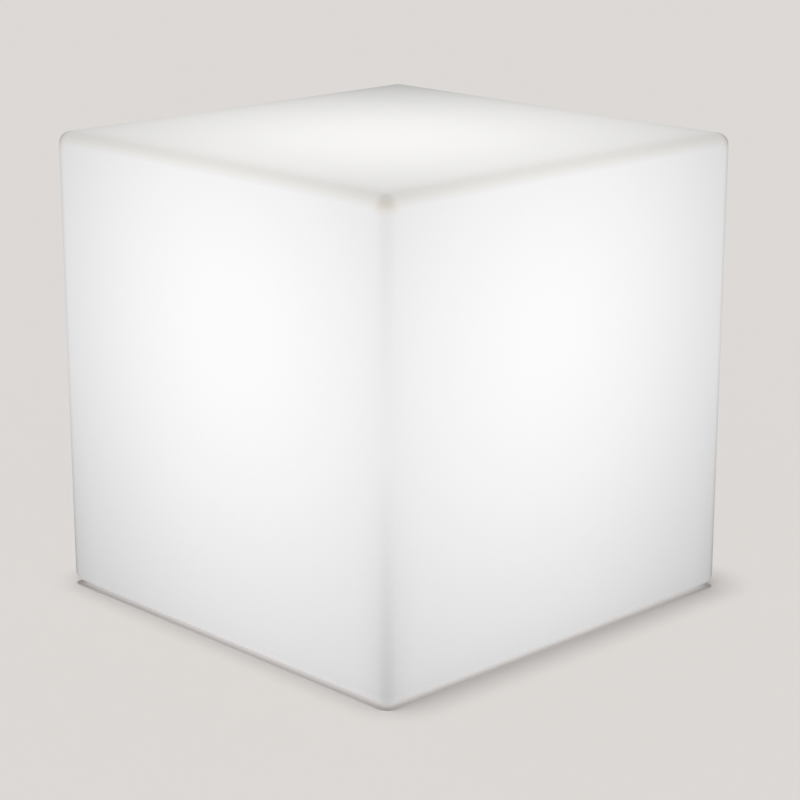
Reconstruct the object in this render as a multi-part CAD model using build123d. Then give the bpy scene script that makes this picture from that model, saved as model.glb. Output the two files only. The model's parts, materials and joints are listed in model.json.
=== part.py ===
from build123d import *
import os
from math import atan2, cos, degrees, hypot, radians, sin, tan

# Cordless LED cube light. Millimetres, +Z up, Z = 0 is the floor under the rubber feet, and the
# Z axis runs up the middle of the cube. A one-piece rotomoulded shell glows all over. A round,
# sealed light module goes up into it through an opening in a recess in its underside: battery
# at the bottom, control board above it, then the LED board under an opal dome.

# ---------------------------------------------------------------- driving dimensions
# Shell
cube_side = 400.0               # outside width, depth, and height with the feet
wall = 3.5                      # rotomoulded wall
edge_radius = 10.0              # outside radius of every edge and corner
recess_depth = 16.0             # underside recess, from the shell's bottom face to its ceiling
recess_draft = 8.0              # degrees, so that the recess leaves the mould
recess_lip_radius = 3.0         # rounding of the recess's mouth
recess_corner_radius = 3.0      # rounding between the recess's side and its ceiling
recess_land_margin = 1.0        # flat ceiling left outside the flange, before that rounding
boss_wall = 3.0                 # plastic round and above each brass insert

# Feet
foot_radius = 12.5
foot_stand = 2.0                # how far the feet hold the shell off the floor
foot_pocket_depth = 1.5
foot_pocket_gap = 0.5           # all round the foot
foot_inset = 50.0               # foot centre from each side face
foot_edge = 0.8                 # chamfer round the foot's sole

# Fasteners that hold the module in the shell
cover_screw_radius = 2.0        # M4
cover_screw_length = 12.0
cover_screw_count = 6
button_head_height = 2.2
head_ratio = 1.9                # screw head radius over shank radius
hex_ratio = 0.62                # hex key's size across flats over shank diameter
screw_gap = 0.25                # clearance hole, all round the shank
head_gap = 0.3                  # counterbore, all round and above the head
thread_gap = 0.05               # between a shank and the hole that it is screwed into
insert_wall = 1.45              # brass between the thread and the knurled outside
insert_tip_room = 1.5           # insert's depth past the end of the screw

# Light module's housing: a flange with a cup on top
opening_gap = 3.0               # between the cup and the shell's opening, all round
gasket_thickness = 2.0
gasket_inset = 1.5              # gasket's outer edge inside the flange's
insert_land = 6.0               # shell's ceiling between the opening's edge and an insert boss
flange_edge = 10.0              # screw circle to the flange's outer edge
flange_thickness = 4.5
flange_rim_radius = 1.2
cup_wall = 2.5
cup_gap = 4.8                   # between the battery cradle's corners and the cup
post_radius = 3.5               # posts in the cup that carry the battery
post_height = 28.0

# Battery
cell_radius = 9.2
cell_length = 65.0
cell_count = 4
cell_gap = 0.6
cell_can_gap = 0.2              # between a cell and its trough
cell_cap_radius = 4.0           # raised contact on each cell's positive end
cell_cap_height = 0.8
cell_edge = 0.8
cradle_wall = 1.8
cradle_base = 2.0
cradle_corner = 6.0
cradle_side_share = 0.75        # height of the troughs, as a share of the cell's radius
post_side_gap = 0.4             # between the cradle's side and a post
post_offset_x = 24.0
ear_radius = 4.5
ear_thickness = 3.0
clamp_thickness = 2.2
clamp_gap = 0.3                 # between the cells and the clamp
clamp_margin = 2.0              # the clamp's plate inside the cradle's sides
clamp_window = 9.0              # width of the clamp's openings
link_thickness = 0.3            # welded nickel strip
link_height = 7.0
link_gap = 0.1
battery_screw_radius = 1.5      # M3
battery_screw_grip = 7.0        # length of screw in the post

# Control board
board_length = 70.0
board_width = 56.0
board_thickness = 1.6
board_corner = 6.0
board_standoff = 5.0
board_standoff_radius = 3.0
board_hole_inset = 5.0
board_room = 10.0               # over the board, for what stands on it
charger_side = 7.0              # charging chip
charger_height = 1.2
driver_length = 10.0            # LED driver chip
driver_width = 6.0
driver_height = 1.6
choke_side = 10.0
choke_corner = 2.5
choke_height = 4.5
transistor_length = 6.5
transistor_width = 6.0
transistor_height = 2.3
capacitor_radius = 4.0
capacitor_height = 7.5
capacitor_edge = 0.6
small_screw_radius = 1.25       # M2.5
small_screw_length = 5.0
small_head_height = 1.6

# LED level
spreader_thickness = 3.0
spreader_gap = 0.4              # between the aluminium disc and the cup, all round
ledge_width = 4.0
ledge_height = 3.0
lug_radius = 4.2                # screw lugs under the ledge
lug_depth = 9.0
lug_inset = 6.0                 # lug centre from the cup's inside
led_board_margin = 9.0          # between the LED board and the aluminium disc's edge
led_board_thickness = 1.6
led_size = 5.0
led_height = 1.6
led_outer_count = 12
led_outer_share = 0.78          # place of each ring of LEDs, as a share of the board's radius
led_inner_count = 4
led_inner_share = 0.34
lead_hole_radius = 4.0
lead_hole_inset = 6.0           # lead hole's centre from the LED board's edge
rim_above_spreader = 2.0
rim_radius_step = 0.3           # clearance between the cup and the dome's ring
dome_seal_thickness = 1.0
dome_flange_thickness = 2.0
dome_wall = 2.0
dome_rise = 24.0
dome_inset = 4.5                # dome's base inside the cup's outside
ring_wall = 1.7
ring_lip = 2.0
ring_skirt = 11.0
ring_notch_count = 12
ring_notch_width = 9.0
ring_notch_depth = 0.6

# Power button, a sealed panel switch
button_place_x = -30.0
button_radius = 6.5
button_travel = 1.8             # how far the button can be pushed up
button_stand = 2.6              # button's face below its bezel
button_guide_gap = 0.08
button_dish = 0.5
button_skirt = 9.0              # length of the button above the bezel's face
button_bezel_width = 3.0
button_bezel_thickness = 2.0
switch_barrel_wall = 1.5
switch_depth = 16.0             # threaded barrel, above the cover's outer face
switch_back_height = 5.0
spring_stack = 1.8              # height of the return spring when it is squeezed flat
panel_seal_thickness = 0.8
panel_gap = 0.2                 # between a barrel and its hole in the cover
nut_thickness = 2.5
nut_ratio = 1.32                # nut's size across flats over the barrel's diameter
tag_width = 2.0                 # soldering tags
tag_thickness = 0.8
tag_height = 4.0
tag_spacing = 5.0               # also the distance between the two leads of a pair

# Charging socket for a 5.5 mm barrel plug, and its hinged cap
socket_place_x = 32.0
socket_bore_radius = 3.1
socket_bore_depth = 11.0
socket_barrel_wall = 2.5
socket_collar_width = 3.4
socket_collar_thickness = 1.6
bracket_land = 2.0              # how far the collar reaches over the cap's bracket
bracket_hole_gap = 0.15         # between the bracket and the seal inside its hole
bracket_bend = 0.5              # outside radius of the bracket's bent edges
socket_depth = 17.0
socket_pin_radius = 1.05
socket_pin_setback = 2.5        # tip of the centre pin behind the mouth
cap_margin = 0.6                # cap's edge outside the collar
cap_thickness = 2.2
cap_gap = 0.3                   # between the shut cap and the collar
cap_plug_gap = 0.6              # between the cap's stub and the socket's bore
cap_plug_length = 2.2           # stub's length inside the bore
cap_plug_chamfer = 0.6
cap_tab = 3.5
hinge_reach = 13.0              # hinge pin to the socket's axis
hinge_pin_radius = 1.0
hinge_pin_gap = 0.06
knuckle_radius = 2.1
knuckle_width = 6.0
ear_gap = 0.3                   # each side of the knuckle
hinge_ear_overhang = 2.0        # ear round the hinge pin's axis
pin_overhang = 0.5              # pin's end past each ear

# Pressure vent
vent_place_x = -49.0
vent_head_radius = 4.0
vent_head_thickness = 1.4
vent_stem_radius = 2.2
vent_barb = 0.6
vent_hole_radius = 0.6
vent_hole_circle = 2.0

# Leads
wire_radius = 0.8
led_wire_spacing = 3.2
wire_bend_share = 0.42          # bend radius, as a share of the shorter run beside it
lead_clearance = 10.5           # lead's rising run outside the battery cradle's end
battery_lead_clearance = 7.5
battery_lead_y = 14.0
header_length = 4.6             # connectors on the boards
header_width = 8.0
header_height = 5.6
header_wire_height = 3.0        # lead above the board that it plugs into

# ---------------------------------------------------------------- places that follow from them
half = cube_side / 2
z_shell = foot_stand
z_ceiling = z_shell + recess_depth
z_flange_top = z_ceiling - gasket_thickness
z_flange = z_flange_top - flange_thickness

cell_pitch = 2 * cell_radius + cell_gap
cells_half_y = (cell_count - 1) / 2 * cell_pitch + cell_radius
cradle_x = cell_length / 2 + cell_cap_height + link_thickness + link_gap + cradle_wall
cradle_y = cells_half_y + cell_can_gap + cradle_wall
cradle_reach = hypot(cradle_x - cradle_corner, cradle_y - cradle_corner) + cradle_corner
cup_inner = cradle_reach + cup_gap
cup_radius = cup_inner + cup_wall
opening_radius = cup_radius + opening_gap
insert_radius = cover_screw_radius + insert_wall
boss_radius = insert_radius + boss_wall
screw_circle = opening_radius + insert_land + boss_radius
flange_radius = screw_circle + flange_edge
recess_ceiling_radius = flange_radius + recess_land_margin + recess_corner_radius
recess_mouth_radius = recess_ceiling_radius + recess_depth * tan(radians(recess_draft))

z_cradle = z_flange_top + post_height
z_cells = z_cradle + cradle_base + cell_can_gap + cell_radius
z_clamp = z_cells + cell_radius + clamp_gap
z_clamp_top = z_clamp + clamp_thickness
z_board = z_clamp_top + board_standoff
z_board_top = z_board + board_thickness
z_spreader = z_board_top + board_room
z_led_board = z_spreader + spreader_thickness
z_leds = z_led_board + led_board_thickness
z_rim = z_led_board + rim_above_spreader
z_dome = z_rim + dome_seal_thickness
z_dome_top_face = z_dome + dome_flange_thickness

post_y = cradle_y + post_side_gap + post_radius
post_places = [(x, y) for x in (-post_offset_x, post_offset_x) for y in (-post_y, post_y)]
spreader_radius = cup_inner - spreader_gap
led_board_radius = spreader_radius - led_board_margin
lug_circle = cup_inner - lug_inset
lug_angles = (90 + 60, 90 + 180, 90 - 60)
lead_hole_y = led_board_radius - lead_hole_inset
dome_base_radius = cup_radius - dome_inset
board_hole_places = [
    (sx * (board_length / 2 - board_hole_inset), sy * (board_width / 2 - board_hole_inset))
    for sx in (-1, 1)
    for sy in (-1, 1)
]

z_bezel_top = z_flange - panel_seal_thickness
z_bezel = z_bezel_top - button_bezel_thickness
z_button = z_bezel - button_stand
barrel_radius = button_radius + button_guide_gap + switch_barrel_wall
bezel_radius = barrel_radius + button_bezel_width
z_switch_top = z_flange + switch_depth
z_button_top = z_bezel + button_skirt
z_guide_end = z_button_top + button_travel + spring_stack

socket_radius = socket_bore_radius + socket_barrel_wall
collar_radius = socket_radius + socket_collar_width
socket_seal_radius = collar_radius - bracket_land
z_collar = z_bezel_top - socket_collar_thickness
z_socket_top = z_flange + socket_depth
z_cap_top = z_collar - cap_gap
z_hinge = z_cap_top - cap_thickness / 2
hinge_x = socket_place_x - hinge_reach
bracket_thickness = z_flange - z_bezel_top
ear_span = knuckle_width + 2 * ear_gap + 2 * bracket_thickness

RISE = (Align.CENTER, Align.CENTER, Align.MIN)


# ---------------------------------------------------------------- shared shapes
def disc(radius, bottom, top):
    """Upright cylinder between two heights."""
    return Pos(0, 0, bottom) * Cylinder(radius, top - bottom, align=RISE)


def ring(outer, inner, bottom, top):
    return disc(outer, bottom, top) - disc(inner, bottom, top)


def block(length, width, bottom, top):
    return Pos(0, 0, bottom) * Box(length, width, top - bottom, align=RISE)


def plate(length, width, corner, bottom, top):
    """Upright plate with rounded corners."""
    return Pos(0, 0, bottom) * extrude(RectangleRounded(length, width, corner), top - bottom)


def turned(points):
    """Solid of revolution about Z from its outline, given as (radius, height) points."""
    outline = Polyline(*[(radius, 0, height) for radius, height in points], close=True)
    return revolve(make_face(outline), Axis.Z)


def at_each(places, shape):
    return [Pos(x, y, 0) * shape for x, y in places]


def round_places(radius, count, first=0.0):
    angles = [radians(first + 360 * i / count) for i in range(count)]
    return [(radius * cos(a), radius * sin(a)) for a in angles]


def polar_places(radius, angles):
    return [(radius * cos(radians(a)), radius * sin(radians(a))) for a in angles]


def edges_at(shape, radius, height):
    """Circular edges of one radius at one height, centred on the Z axis."""
    return [
        edge
        for edge in shape.edges().filter_by(GeomType.CIRCLE)
        if abs(edge.radius - radius) < 0.01
        and abs(edge.center(CenterOf.BOUNDING_BOX).Z - height) < 0.01
        and hypot(edge.arc_center.X, edge.arc_center.Y) < 0.01
    ]


def group(shapes):
    """Several separate solids as one node."""
    return Compound(children=[solid for shape in shapes for solid in shape.solids()])


def button_head_screw(shank_radius, length, head_height, seat):
    """Screw that points up, with the underside of its head at the height of its seat."""
    head_radius = shank_radius * head_ratio
    head = disc(head_radius, seat - head_height, seat)
    head = fillet(head.faces().sort_by(Axis.Z)[0].edges(), head_height * 0.55)
    socket_flats = shank_radius * 2 * hex_ratio
    socket = Pos(0, 0, seat - head_height) * extrude(
        RegularPolygon(socket_flats / 2, 6, major_radius=False), head_height * 0.55
    )
    shank = chamfer(
        disc(shank_radius, seat, seat + length).faces().sort_by(Axis.Z)[-1].edges(),
        shank_radius * 0.25,
    )
    return head - socket + shank


def top_screw(shank_radius, length, head_height, seat):
    """The same screw driven down from above, with its head standing on the seat."""
    screw = button_head_screw(shank_radius, length, head_height, 0)
    return Pos(0, 0, seat) * Rot(180, 0, 0) * screw


def hex_nut(barrel, bottom):
    flats = 2 * barrel * nut_ratio
    blank = extrude(RegularPolygon(flats / 2, 6, major_radius=False), nut_thickness)
    return Pos(0, 0, bottom) * blank - disc(barrel + thread_gap, bottom, bottom + nut_thickness)


def lead(points):
    """Round wire along straight runs that are joined by tangent arcs."""
    runs = [(Vector(*b) - Vector(*a)).length for a, b in zip(points, points[1:])]
    bends = [wire_bend_share * min(pair) for pair in zip(runs, runs[1:])]
    path = FilletPolyline(*points, radius=bends)
    section = Plane(origin=points[0], z_dir=path % 0) * Circle(wire_radius)
    return sweep(section, path)


# ---------------------------------------------------------------- shell and what is moulded into it
def recess_profile(offset):
    """Underside recess as a solid. With an offset it is the outside of the recess's own wall."""
    slope = tan(radians(recess_draft))
    ceiling = recess_ceiling_radius + offset
    top = z_ceiling + offset
    mouth = ceiling + (top - z_shell) * slope
    below = edge_radius
    solid = turned(
        [(0, top), (ceiling, top), (mouth, z_shell), (mouth, z_shell - below), (0, z_shell - below)]
    )
    return fillet(edges_at(solid, ceiling, top), recess_corner_radius + offset)


def cube_shell():
    """Rotomoulded polyethylene cube: one hollow piece, with every wall made by the same offset."""
    height = cube_side - foot_stand
    outside = Pos(0, 0, z_shell) * Box(cube_side, cube_side, height, align=RISE)
    outside = fillet(outside.edges(), edge_radius)
    inner_side = cube_side - 2 * wall
    hollow = Pos(0, 0, z_shell + wall) * Box(inner_side, inner_side, height - 2 * wall, align=RISE)
    hollow = fillet(hollow.edges(), edge_radius - wall)

    foot_place = half - foot_inset
    feet = [(x, y) for x in (-foot_place, foot_place) for y in (-foot_place, foot_place)]
    pocket_radius = foot_radius + foot_pocket_gap
    pocket_top = z_shell + foot_pocket_depth
    bumps = disc(pocket_radius + wall, z_shell, pocket_top + wall)

    insert_places = round_places(screw_circle, cover_screw_count, 90)
    boss_top = insert_top() + boss_wall
    boss = chamfer(disc(boss_radius, z_ceiling, boss_top).faces().sort_by(Axis.Z)[-1].edges(), 1)

    hollow -= recess_profile(wall)
    hollow -= at_each(feet, bumps)
    hollow -= at_each(insert_places, boss)

    shell = outside - recess_profile(0)
    shell = fillet(edges_at(shell, recess_mouth_radius, z_shell), recess_lip_radius)
    shell -= hollow
    shell -= disc(opening_radius, z_ceiling - 1, z_ceiling + 2 * wall)
    shell = chamfer(edges_at(shell, opening_radius, z_ceiling), wall / 7)
    shell -= at_each(feet, disc(pocket_radius, z_shell - 1, pocket_top))
    shell -= at_each(insert_places, disc(insert_radius, z_ceiling - 1, insert_top()))
    return shell


def insert_top():
    """Blind end of the brass inserts, past the tip of the cover screws."""
    return cover_screw_seat() + cover_screw_length + insert_tip_room


def cover_screw_seat():
    return z_flange + button_head_height + head_gap


def threaded_inserts():
    body = disc(insert_radius, z_ceiling, insert_top())
    bore = disc(cover_screw_radius + thread_gap, z_ceiling - 1, insert_top() - insert_tip_room / 2)
    groove_middle = (z_ceiling + insert_top()) / 2
    groove = ring(insert_radius + 1, insert_radius - 0.4, groove_middle - 0.6, groove_middle + 0.6)
    insert = body - bore - groove
    return group(at_each(round_places(screw_circle, cover_screw_count, 90), insert))


def rubber_feet():
    place = half - foot_inset
    foot = disc(foot_radius, 0, z_shell + foot_pocket_depth)
    foot = chamfer(foot.faces().sort_by(Axis.Z)[0].edges(), foot_edge)
    return group(at_each([(x, y) for x in (-place, place) for y in (-place, place)], foot))


# ---------------------------------------------------------------- housing of the light module
def base_housing():
    """Flange and cup in one moulding, with posts for the battery and a ledge for the LED plate."""
    body = disc(flange_radius, z_flange, z_flange_top)
    body = fillet(body.faces().sort_by(Axis.Z)[0].edges(), flange_rim_radius)
    body += ring(cup_radius, cup_inner, z_flange_top, z_rim)
    ledge_top = z_spreader
    ledge = turned(
        [
            (cup_inner + cup_wall / 2, ledge_top),
            (cup_inner - ledge_width, ledge_top),
            (cup_inner - ledge_width, ledge_top - ledge_height),
            (cup_inner, ledge_top - ledge_height - ledge_width),
            (cup_inner + cup_wall / 2, ledge_top - ledge_height - ledge_width),
        ]
    )
    body += ledge

    post = disc(post_radius, z_flange_top, z_cradle)
    body += at_each(post_places, post)
    body += [post_rib(x, y) for x, y in post_places]
    body += at_each(polar_places(lug_circle, lug_angles), disc(lug_radius, ledge_top - lug_depth, ledge_top))
    body += [lug_rib(angle) for angle in lug_angles]

    pilot = battery_screw_radius + thread_gap
    body -= at_each(post_places, disc(pilot, z_cradle - battery_screw_grip - 1, z_cradle + 1))
    body -= at_each(
        polar_places(lug_circle, lug_angles), disc(pilot, ledge_top - lug_depth + 1.5, ledge_top + 1)
    )

    clearance = cover_screw_radius + screw_gap
    counterbore = cover_screw_radius * head_ratio + head_gap
    screw_hole = disc(clearance, z_flange - 1, z_flange_top + 1)
    screw_hole += disc(counterbore, z_flange - 1, cover_screw_seat())
    body -= at_each(round_places(screw_circle, cover_screw_count, 90), screw_hole)

    panel_holes = [
        (button_place_x, barrel_radius + panel_gap),
        (socket_place_x, socket_radius + panel_gap),
        (vent_place_x, vent_stem_radius + panel_gap),
    ]
    for place, radius in panel_holes:
        body -= Pos(place, 0, 0) * disc(radius, z_flange - 1, z_flange_top + 1)
    return body


def post_rib(x, y):
    """Rib that ties a battery post to the cup's wall."""
    angle = degrees(atan2(y, x))
    inner = hypot(x, y)
    length = cup_inner + cup_wall / 2 - inner
    rib = block(length, cup_wall * 0.8, z_flange_top, z_cradle - ear_thickness)
    rib = Pos(inner + length / 2, 0, 0) * rib
    return Rot(0, 0, angle) * rib


def lug_rib(angle):
    length = cup_inner + cup_wall / 2 - lug_circle
    rib = Pos(lug_circle + length / 2, 0, 0) * block(
        length, lug_radius * 1.2, z_spreader - lug_depth, z_spreader
    )
    return Rot(0, 0, angle) * rib


def base_gasket():
    seal = ring(flange_radius - gasket_inset, opening_radius, z_flange_top, z_ceiling)
    holes = disc(cover_screw_radius + screw_gap, z_flange_top - 1, z_ceiling + 1)
    return seal - at_each(round_places(screw_circle, cover_screw_count, 90), holes)


def cover_screws():
    screw = button_head_screw(
        cover_screw_radius, cover_screw_length, button_head_height, cover_screw_seat()
    )
    return group(at_each(round_places(screw_circle, cover_screw_count, 90), screw))


# ---------------------------------------------------------------- battery
def cell_places():
    first = -(cell_count - 1) / 2
    return [(first + i) * cell_pitch for i in range(cell_count)]


def battery_cells():
    """Cylindrical cells side by side, all with their positive end towards +X."""
    can = Rot(0, 90, 0) * Cylinder(cell_radius, cell_length)
    can = fillet(can.edges().filter_by(GeomType.CIRCLE), cell_edge)
    cap_middle = cell_length / 2 + cell_cap_height / 2
    cap = Pos(cap_middle, 0, 0) * Rot(0, 90, 0) * Cylinder(cell_cap_radius, cell_cap_height)
    return group([Pos(0, y, z_cells) * (can + cap) for y in cell_places()])


def battery_cradle():
    top = z_cells + cell_radius * (cradle_side_share - 1) + cell_can_gap
    body = plate(2 * cradle_x, 2 * cradle_y, cradle_corner, z_cradle, top)
    room = cell_length + 2 * (cell_cap_height + link_thickness + link_gap)
    trough = Rot(0, 90, 0) * Cylinder(cell_radius + cell_can_gap, room)
    body -= [Pos(0, y, z_cells) * trough for y in cell_places()]
    link_room = room - cell_length
    for end in (-1, 1):
        slot = block(link_room / 2, 2 * (cradle_y - cradle_wall), z_cradle + cradle_base, top + 1)
        body -= Pos(end * (room / 2 - link_room / 4), 0, 0) * slot
    body += [ear(x, y, z_cradle, z_cradle + ear_thickness, cradle_y) for x, y in post_places]
    hole = disc(battery_screw_radius + screw_gap, z_cradle - 1, z_cradle + ear_thickness + 1)
    return body - at_each(post_places, hole)


def ear(x, y, bottom, top, side):
    """Screw ear over a post, tied back to a straight side at the given distance from the middle."""
    tie = abs(y) - side + cradle_wall
    inward = -1 if y > 0 else 1
    arm = Pos(x, y + inward * tie / 2, 0) * block(2 * ear_radius, tie, bottom, top)
    return Pos(x, y, 0) * disc(ear_radius, bottom, top) + arm


def battery_links():
    """Welded nickel strip across each end of the cells."""
    strips = []
    for end in (-1, 1):
        face = cell_length / 2 + (cell_cap_height if end > 0 else 0)
        width = 2 * cells_half_y - cell_radius
        strip = block(link_thickness, width, z_cells - link_height / 2, z_cells + link_height / 2)
        strips.append(Pos(end * (face + link_thickness / 2), 0, 0) * strip)
    return group(strips)


def battery_clamp():
    """Plate over the cells, on four legs that stand on the cradle's ears."""
    plate_x = cradle_x - clamp_margin
    plate_y = cradle_y - clamp_margin
    body = plate(2 * plate_x, 2 * plate_y, cradle_corner, z_clamp, z_clamp_top)
    body += [ear(x, y, z_clamp, z_clamp_top, plate_y) for x, y in post_places]
    leg_bottom = z_cradle + ear_thickness
    body += at_each(post_places, disc(post_radius, leg_bottom, z_clamp))
    for y in cell_places():
        body -= Pos(0, y, 0) * extrude_slot(2 * plate_x * 0.55, clamp_window, z_clamp, z_clamp_top)
    body += at_each(board_hole_places, disc(board_standoff_radius, z_clamp_top, z_board))
    body -= at_each(post_places, disc(battery_screw_radius + screw_gap, leg_bottom - 1, z_clamp_top + 1))
    pilot = disc(small_screw_radius + thread_gap, z_clamp_top + 1, z_board + 1)
    return body - at_each(board_hole_places, pilot)


def extrude_slot(length, width, bottom, top):
    return Pos(0, 0, bottom - 1) * extrude(SlotOverall(length, width), top - bottom + 2)


def battery_screws():
    length = z_clamp_top - z_cradle + battery_screw_grip
    return group(
        at_each(post_places, top_screw(battery_screw_radius, length, button_head_height, z_clamp_top))
    )


# ---------------------------------------------------------------- control board
def header_places():
    """Plug-in connectors on the control board: x, y and the side that the leads come from."""
    edge_x = (board_length - header_length) / 2
    edge_y = (board_width - header_length) / 2
    return {
        "switch": (-edge_x, 0.0, 0),
        "socket": (edge_x, 0.0, 0),
        "minus": (-edge_x, battery_lead_y, 0),
        "plus": (edge_x, battery_lead_y, 0),
        "led": (0.0, edge_y, 90),
    }


def control_board():
    body = plate(board_length, board_width, board_corner, z_board, z_board_top)
    hole = disc(small_screw_radius + screw_gap, z_board - 1, z_board_top + 1)
    return body - at_each(board_hole_places, hole)


def board_chips():
    """Charging chip, driver chip, storage choke and two power transistors."""
    charger = block(charger_side, charger_side, z_board_top, z_board_top + charger_height)
    driver = block(driver_length, driver_width, z_board_top, z_board_top + driver_height)
    choke = plate(choke_side, choke_side, choke_corner, z_board_top, z_board_top + choke_height)
    transistor = block(
        transistor_length, transistor_width, z_board_top, z_board_top + transistor_height
    )
    column = board_length * 0.19
    row = board_width * 0.21
    transistors = at_each([(-column, row), (column, row)], transistor)
    return group(
        [
            Pos(-column, -row / 2, 0) * charger,
            Pos(column, -row * 0.7, 0) * driver,
            Pos(0, -row * 1.3, 0) * choke,
            *transistors,
        ]
    )


def board_capacitors():
    """Two buffer capacitors near the board's front corners and one in its middle."""
    can = disc(capacitor_radius, z_board_top, z_board_top + capacitor_height)
    can = fillet(can.faces().sort_by(Axis.Z)[-1].edges(), capacitor_edge)
    places = [
        (-board_length * 0.28, -board_width * 0.32),
        (board_length * 0.28, -board_width * 0.32),
        (0, board_width * 0.07),
    ]
    return group(at_each(places, can))


def board_headers():
    shapes = []
    for x, y, angle in header_places().values():
        width = header_width if y != battery_lead_y else header_width / 2
        header = block(header_length, width, z_board_top, z_board_top + header_height)
        shapes.append(Pos(x, y, 0) * Rot(0, 0, angle) * header)
    return group(shapes)


def board_screws():
    screw = top_screw(small_screw_radius, small_screw_length, small_head_height, z_board_top)
    return group(at_each(board_hole_places, screw))


# ---------------------------------------------------------------- LED level
def heat_spreader():
    body = disc(spreader_radius, z_spreader, z_led_board)
    body -= Pos(0, lead_hole_y, 0) * disc(lead_hole_radius, z_spreader - 1, z_led_board + 1)
    hole = disc(battery_screw_radius + screw_gap, z_spreader - 1, z_led_board + 1)
    body -= at_each(polar_places(lug_circle, lug_angles), hole)
    tapped = disc(small_screw_radius + thread_gap, z_spreader - 1, z_led_board + 1)
    return body - at_each(led_board_screw_places(), tapped)


def spreader_screws():
    screw = top_screw(battery_screw_radius, lug_depth, small_head_height, z_led_board)
    return group(at_each(polar_places(lug_circle, lug_angles), screw))


def led_board_screw_places():
    return round_places(led_board_radius * 0.56, 3, 270)


def led_board():
    body = disc(led_board_radius, z_led_board, z_leds)
    hole = disc(small_screw_radius + screw_gap, z_led_board - 1, z_leds + 1)
    body -= at_each(led_board_screw_places(), hole)
    return body - Pos(0, lead_hole_y, 0) * disc(lead_hole_radius, z_led_board - 1, z_leds + 1)


def led_board_screws():
    length = led_board_thickness + spreader_thickness - 0.5
    screw = top_screw(small_screw_radius, length, small_head_height, z_leds)
    return group(at_each(led_board_screw_places(), screw))


def led_chips():
    """Two rings of square white LEDs, each with a shallow round well for its phosphor."""
    chip = block(led_size, led_size, z_leds, z_leds + led_height)
    chip -= disc(led_size * 0.38, z_leds + led_height - 0.3, z_leds + led_height + 1)
    rings = [
        (led_outer_count, led_outer_share, 180 / led_outer_count),
        (led_inner_count, led_inner_share, 180 / led_inner_count),
    ]
    chips = []
    for count, share, first in rings:
        for i in range(count):
            turn = Rot(0, 0, first + 360 * i / count)
            chips.append(turn * Pos(led_board_radius * share, 0, 0) * chip)
    return group(chips)


def led_terminal_y():
    """Middle of the LED board's terminal, inboard of the lead hole."""
    return lead_hole_y - lead_hole_radius - header_length / 2 - 3.0


def led_terminal():
    header = block(header_width, header_length, z_leds, z_leds + header_height)
    return Pos(0, led_terminal_y(), 0) * header


def lead_grommet():
    """Rubber bush in the lead hole, with a lip under the aluminium disc."""
    outer = lead_hole_radius
    inner = outer - 1.0
    points = [
        (inner, z_spreader - 1.2),
        (outer + 1.2, z_spreader - 1.2),
        (outer + 1.2, z_spreader),
        (outer, z_spreader),
        (outer, z_leds),
        (inner, z_leds),
    ]
    return Pos(0, lead_hole_y, 0) * turned(points)


def dome_seal():
    return ring(cup_radius, cup_inner, z_rim, z_dome)


def diffuser_dome():
    """Opal dome: a shallow spherical cap of even wall on a flat flange."""
    outer = dome_cap(dome_base_radius, dome_rise, z_dome_top_face)
    inner = dome_cap(dome_base_radius - dome_wall, dome_rise - dome_wall, z_dome_top_face)
    flange = disc(cup_radius, z_dome, z_dome_top_face)
    body = flange + outer - inner
    return body - disc(dome_base_radius - dome_wall, z_dome - 1, z_dome_top_face)


def dome_cap(base, rise, height):
    """Part of a ball that stands above a height, with a given base radius and rise."""
    ball = (base**2 + rise**2) / (2 * rise)
    sphere = Pos(0, 0, height + rise - ball) * Sphere(ball)
    return sphere & disc(base + 1, height, height + rise + 1)


def dome_ring():
    """Screw-down ring over the dome's flange, with finger notches round its outside."""
    inside = cup_radius + rim_radius_step
    outside = inside + ring_wall
    top = z_dome_top_face + ring_lip
    bottom = top - ring_skirt
    body = turned(
        [
            (inside, bottom),
            (outside, bottom),
            (outside, top),
            (dome_base_radius + rim_radius_step, top),
            (dome_base_radius + rim_radius_step, z_dome_top_face),
            (inside, z_dome_top_face),
        ]
    )
    body = fillet(edges_at(body, outside, top), ring_wall * 0.6)
    cutter = Pos(outside, 0, 0) * block(
        2 * ring_notch_depth, ring_notch_width, bottom - 1, top - ring_lip
    )
    step = 360 / ring_notch_count
    return body - [Rot(0, 0, i * step) * cutter for i in range(ring_notch_count)]


# ---------------------------------------------------------------- power button
def power_button():
    """Round button that slides up into its switch, with a dished face."""
    body = disc(button_radius, z_button, z_button_top)
    body = fillet(body.faces().sort_by(Axis.Z)[0].edges(), button_dish * 2)
    ball = (button_radius**2 + button_dish**2) / (2 * button_dish)
    return Pos(button_place_x, 0, 0) * (body - Pos(0, 0, z_button + button_dish - ball) * Sphere(ball))


def button_housing():
    """Panel switch: bezel outside, threaded barrel through the cover, contact block behind."""
    barrel = disc(barrel_radius, z_bezel_top, z_switch_top)
    bezel = disc(bezel_radius, z_bezel, z_bezel_top)
    bezel = fillet(bezel.faces().sort_by(Axis.Z)[0].edges(), button_bezel_thickness * 0.45)
    back = block(
        barrel_radius * 1.35, barrel_radius * 1.35, z_switch_top, z_switch_top + switch_back_height
    )
    body = bezel + barrel + back
    body -= disc(button_radius + button_guide_gap, z_bezel - 1, z_guide_end)
    return Pos(button_place_x, 0, 0) * body


def switch_tags():
    return solder_tags(button_place_x, z_switch_top + switch_back_height)


def solder_tags(place, bottom):
    """Two brass soldering tags on the back of a switch or socket."""
    tag = block(tag_thickness, tag_width, bottom, bottom + tag_height)
    return group([Pos(place, side * tag_spacing / 2, 0) * tag for side in (-1, 1)])


def button_seal():
    seal = ring(bezel_radius - 1, barrel_radius + thread_gap, z_bezel_top, z_flange)
    return Pos(button_place_x, 0, 0) * seal


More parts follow.
